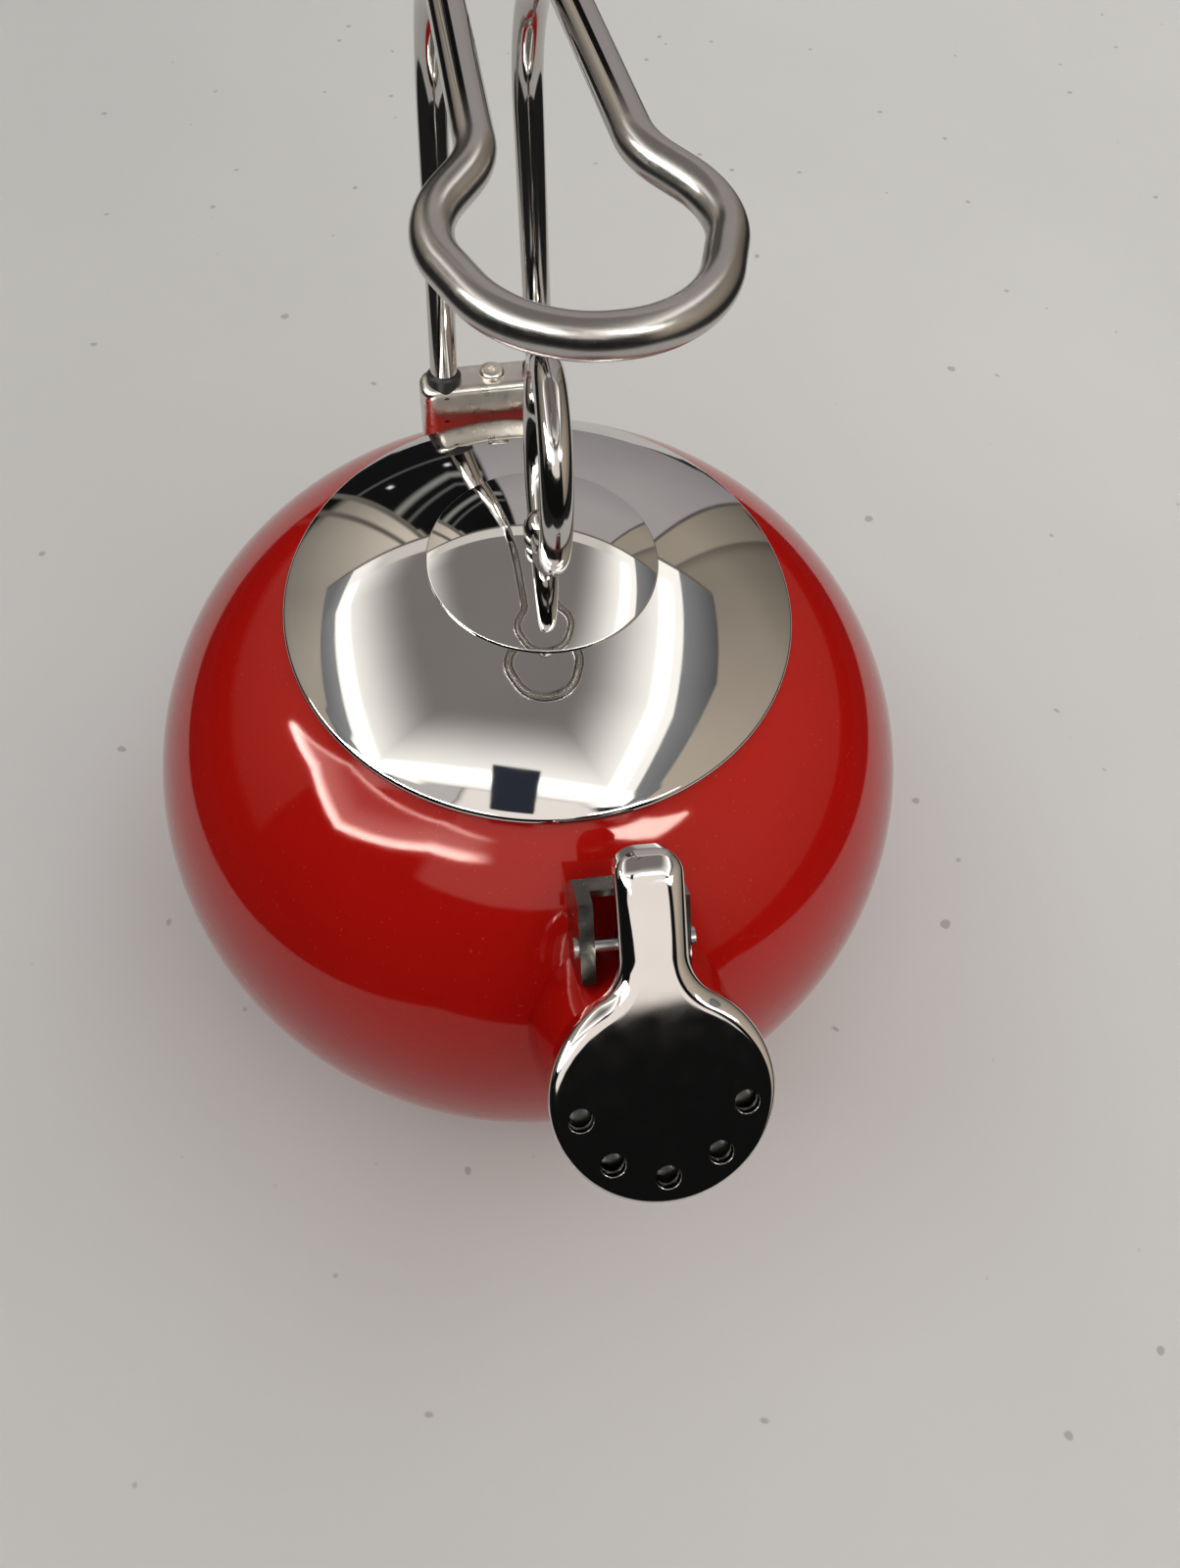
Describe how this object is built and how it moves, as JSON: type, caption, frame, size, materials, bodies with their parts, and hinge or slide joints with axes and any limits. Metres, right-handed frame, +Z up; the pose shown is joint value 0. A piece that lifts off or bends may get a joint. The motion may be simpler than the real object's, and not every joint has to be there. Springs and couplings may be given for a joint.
{
  "type": "stovetop whistling kettle",
  "caption": "Round enamelled stovetop kettle with a bent-rod handle, a lift-off domed lid with a ring knob, and a flip-up whistle cap on its short spout.",
  "frame": {"origin": "centre of the flat base, on the surface the kettle stands on", "axes": "+Z up along the body's axis, -Y towards the spout, +Y towards the handle's socket, +X to the right seen from the spout's side"},
  "size_m": [0.19, 0.2219, 0.2306],
  "materials": {
    "enamel_red": "glossy vitreous enamel",
    "polished_lid_steel": "mirror polished stainless steel",
    "polished_knob_steel": "mirror polished stainless steel",
    "polished_handle_rod": "polished stainless steel rod with fine drawing marks",
    "polished_cap": "bright plated die casting",
    "polished_cover": "bright plated pressed steel",
    "plain_steel": "plain steel",
    "sheet_steel": "folded sheet steel with cut edges",
    "black_sleeve": "black heat-proof plastic",
    "silicone_seal": "soft translucent silicone",
    "spring_steel": "spring wire"
  },
  "bodies": {
    "kettle": {"body_shell_lower": "enamel_red", "body_shell_upper": "enamel_red", "base_pan": "enamel_red", "mouth_ring": "plain_steel", "spout_neck": "enamel_red", "spout_rim": "plain_steel", "hinge_bracket": "sheet_steel", "hinge_pin": "plain_steel", "cap_spring": "spring_steel", "handle_rod": "polished_handle_rod", "socket_cover": "polished_cover", "socket_core": "plain_steel", "rod_bushings": "black_sleeve", "rod_grub_screws": "plain_steel", "socket_screw": "polished_cover", "socket_bolts": "plain_steel", "bolt_washers": "black_sleeve"},
    "lid": {"lid_dome": "polished_lid_steel", "lid_crown_disc": "polished_lid_steel", "lid_skirt": "plain_steel", "knob_ring": "polished_knob_steel", "knob_ball": "polished_knob_steel", "knob_stud": "plain_steel", "knob_washer": "plain_steel", "knob_nut": "plain_steel"},
    "whistle_cap": {"spout_cap": "polished_cap", "whistle_outer_plate": "sheet_steel", "whistle_cup": "sheet_steel", "whistle_inner_plate": "sheet_steel", "cap_seal": "silicone_seal"}
  },
  "joints": [
    {"name": "lid_lift", "type": "slide", "parent": "kettle", "child": "lid", "axis": [0, 0, 1], "range_m": [0, 0.035]},
    {"name": "cap_flip", "type": "hinge", "parent": "kettle", "child": "whistle_cap", "pos_m": [0.00347, -0.08243, 0.12501], "axis": [-0.9968, 0.0802, 0], "range_deg": [0, 48], "stiffness_Nm_per_rad": 0.02, "springref_deg": -34.38}
  ]
}
